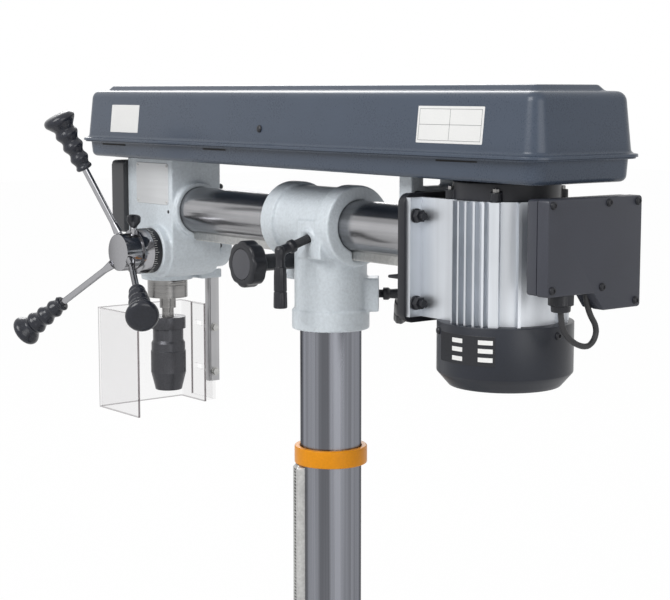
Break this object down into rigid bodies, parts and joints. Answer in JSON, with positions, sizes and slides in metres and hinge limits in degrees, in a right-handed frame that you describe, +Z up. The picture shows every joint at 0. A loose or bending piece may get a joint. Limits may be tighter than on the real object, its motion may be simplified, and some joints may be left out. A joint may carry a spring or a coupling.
{
  "type": "radial arm drill",
  "caption": "Bench radial arm drill: swinging column arm, sliding tilting ram, lever feed head, belt cover and finned motor, with a lift table and base.",
  "frame": {"origin": "under the base, on the column's axis", "axes": "+X to the operator's right, +Y towards the motor, +Z up the column"},
  "size_m": [0.3348, 0.8923, 0.941],
  "materials": {
    "cast_white": "painted cast texture",
    "steel": "ground",
    "ground_iron": "ground",
    "orange": "painted",
    "black_plastic": "satin",
    "black_steel": "satin black",
    "slate_paint": "semi-gloss paint",
    "green_plastic": "satin",
    "red_plastic": "satin",
    "rubber": "matte",
    "aluminium": "extruded",
    "chrome": "chrome plated",
    "clear_sheet": "clear"
  },
  "bodies": {
    "base": {"base_casting": "cast_white", "column_flange": "cast_white", "flange_bolts": "steel", "column_tube": "steel", "rack_ring": "orange"},
    "rack_carrier": {"column_rack": "steel"},
    "table_arm": {"table_bracket": "cast_white"},
    "table": {"table_plate": "ground_iron"},
    "table_lock": {"table_lock_lever": "black_plastic"},
    "crank": {"table_crank": "steel"},
    "crank_handle": {"crank_grip": "black_plastic"},
    "arm": {"cross_sleeve": "cast_white"},
    "ram_lock": {"ram_lock_lever": "black_plastic"},
    "column_lock": {"column_lock_lever": "black_plastic"},
    "ram_knob": {"ram_feed_knob": "black_plastic", "ram_pinion": "steel"},
    "ram_carriage": {"ram_rack": "steel"},
    "head": {"ram_tube": "steel", "head_casting": "cast_white", "rear_bracket": "cast_white", "bracket_loop": "black_steel", "spring_cap": "cast_white", "cap_nuts": "black_steel", "return_spring": "steel", "switch_box": "black_plastic", "cover_tray": "slate_paint", "lid_hinge": "steel", "v_belt": "rubber", "pulley_bearings": "steel"},
    "start": {"start_button": "green_plastic"},
    "stop": {"stop_button": "red_plastic"},
    "lid": {"cover_lid": "slate_paint"},
    "pulley": {"spindle_pulley": "aluminium"},
    "quill_body": {"quill": "steel", "quill_bearings": "steel"},
    "spindle_body": {"spindle": "steel", "chuck_body": "black_steel"},
    "chuck": {"chuck_sleeve": "black_steel"},
    "jaw_1": {"chuck_jaw_1": "steel"},
    "jaw_2": {"chuck_jaw_2": "steel"},
    "jaw_3": {"chuck_jaw_3": "steel"},
    "feed": {"feed_shaft": "steel", "feed_hub": "chrome", "depth_dial": "black_plastic", "feed_levers": "chrome", "lever_grips": "black_plastic"},
    "guard": {"guard_sheet": "clear_sheet", "guard_bar": "aluminium", "guard_screws": "black_steel"},
    "motor": {"motor_plate": "black_steel", "motor_housing": "aluminium", "stator": "steel", "motor_end_bell": "black_steel", "fan_cowl": "black_steel", "terminal_box": "black_plastic", "motor_screws": "steel", "cable_gland": "black_plastic", "motor_cable": "rubber"},
    "motor_shaft": {"rotor": "steel", "motor_pulley": "aluminium"}
  },
  "joints": [
    {"name": "table_swing", "type": "hinge", "parent": "base", "child": "rack_carrier", "pos_m": [0, 0, 0.3], "axis": [0, 0, 1], "range_deg": [-180, 180]},
    {"name": "table_lift", "type": "slide", "parent": "rack_carrier", "child": "table_arm", "axis": [0, 0, 1], "range_m": [-0.015, 0.2]},
    {"name": "table_turn", "type": "hinge", "parent": "table_arm", "child": "table", "pos_m": [0, -0.23, 0.196], "axis": [0, 0, 1], "continuous": true},
    {"name": "table_lock_turn", "type": "hinge", "parent": "table_arm", "child": "table_lock", "pos_m": [0, 0.0625, 0.1626], "axis": [1, 0, 0], "range_deg": [0, 60]},
    {"name": "crank_turn", "type": "hinge", "parent": "table_arm", "child": "crank", "pos_m": [0.05168, -0.01679, 0.1626], "axis": [0.309, 0.9511, 0], "range_deg": [-1150, 90]},
    {"name": "crank_grip_spin", "type": "hinge", "parent": "crank", "child": "crank_handle", "pos_m": [0.12301, -0.03997, 0.1626], "axis": [0.309, 0.9511, 0], "continuous": true},
    {"name": "column_swing", "type": "hinge", "parent": "base", "child": "arm", "pos_m": [0, 0, 0.68], "axis": [0, 0, 1], "range_deg": [-180, 180]},
    {"name": "ram_lock_turn", "type": "hinge", "parent": "arm", "child": "ram_lock", "pos_m": [0, 0.016, 0.78], "axis": [0.9537, 0, -0.3007], "range_deg": [0, 75]},
    {"name": "column_lock_turn", "type": "hinge", "parent": "arm", "child": "column_lock", "pos_m": [0, 0, 0.697], "axis": [-0.766, 0.6428, 0], "range_deg": [0, 60]},
    {"name": "ram_knob_turn", "type": "hinge", "parent": "arm", "child": "ram_knob", "pos_m": [0, -0.042, 0.73437], "axis": [1, 0, 0], "range_deg": [-1460, 620]},
    {"name": "ram_slide", "type": "slide", "parent": "arm", "child": "ram_carriage", "axis": [0, -1, 0], "range_m": [-0.19, 0.08]},
    {"name": "head_tilt", "type": "hinge", "parent": "ram_carriage", "child": "head", "pos_m": [0, 0, 0.78], "axis": [0, 1, 0], "range_deg": [-90, 45]},
    {"name": "start_press", "type": "slide", "parent": "head", "child": "start", "axis": [0, 1, 0], "range_m": [0, 0.004], "stiffness_N_per_m": 500, "springref_m": -0.003},
    {"name": "stop_press", "type": "slide", "parent": "head", "child": "stop", "axis": [0, 1, 0], "range_m": [0, 0.004], "stiffness_N_per_m": 500, "springref_m": -0.003},
    {"name": "lid_open", "type": "hinge", "parent": "head", "child": "lid", "pos_m": [-0.0844, 0, 0.8724], "axis": [0, -1, 0], "range_deg": [0, 95]},
    {"name": "pulley_spin", "type": "hinge", "parent": "head", "child": "pulley", "pos_m": [0, -0.358, 0.854], "axis": [0, 0, 1], "continuous": true},
    {"name": "quill_feed", "type": "slide", "parent": "head", "child": "quill_body", "axis": [0, 0, -1], "range_m": [0, 0.08], "stiffness_N_per_m": 500, "springref_m": -0.16},
    {"name": "spindle_spin", "type": "hinge", "parent": "quill_body", "child": "spindle_body", "pos_m": [0, -0.358, 0.78], "axis": [0, 0, 1], "continuous": true},
    {"name": "chuck_turn", "type": "hinge", "parent": "spindle_body", "child": "chuck", "pos_m": [0, -0.358, 0.58], "axis": [0, 0, 1], "range_deg": [-720, 720]},
    {"name": "jaw_1_slide", "type": "slide", "parent": "spindle_body", "child": "jaw_1", "axis": [0.2588, 0, 0.9659], "range_m": [-0.006, 0.006]},
    {"name": "jaw_2_slide", "type": "slide", "parent": "spindle_body", "child": "jaw_2", "axis": [-0.1294, 0.2241, 0.9659], "range_m": [-0.006, 0.006]},
    {"name": "jaw_3_slide", "type": "slide", "parent": "spindle_body", "child": "jaw_3", "axis": [-0.1294, -0.2241, 0.9659], "range_m": [-0.006, 0.006]},
    {"name": "feed_turn", "type": "hinge", "parent": "head", "child": "feed", "pos_m": [0, -0.3188, 0.727], "axis": [1, 0, 0], "range_deg": [0, 330], "deforming": ["return_spring"]},
    {"name": "guard_swing", "type": "hinge", "parent": "head", "child": "guard", "pos_m": [-0.058, -0.337, 0.6], "axis": [0, 0, -1], "range_deg": [0, 100]},
    {"name": "belt_tension", "type": "slide", "parent": "head", "child": "motor", "axis": [0, 1, 0], "range_m": [-0.01, 0], "deforming": ["v_belt"]},
    {"name": "motor_spin", "type": "hinge", "parent": "motor", "child": "motor_shaft", "pos_m": [0, 0.295, 0.78], "axis": [0, 0, 1], "continuous": true}
  ],
  "couplings": [
    {"joint": "crank_turn", "follows": "table_lift", "rad_per_m": -100},
    {"joint": "ram_knob_turn", "follows": "ram_slide", "rad_per_m": 133.33},
    {"joint": "feed_turn", "follows": "quill_feed", "rad_per_m": 71.429},
    {"joint": "pulley_spin", "follows": "motor_spin", "ratio": 1},
    {"joint": "spindle_spin", "follows": "motor_spin", "ratio": 1},
    {"joint": "jaw_1_slide", "follows": "chuck_turn", "m_per_rad": 0.00047746},
    {"joint": "jaw_2_slide", "follows": "chuck_turn", "m_per_rad": 0.00047746},
    {"joint": "jaw_3_slide", "follows": "chuck_turn", "m_per_rad": 0.00047746}
  ]
}
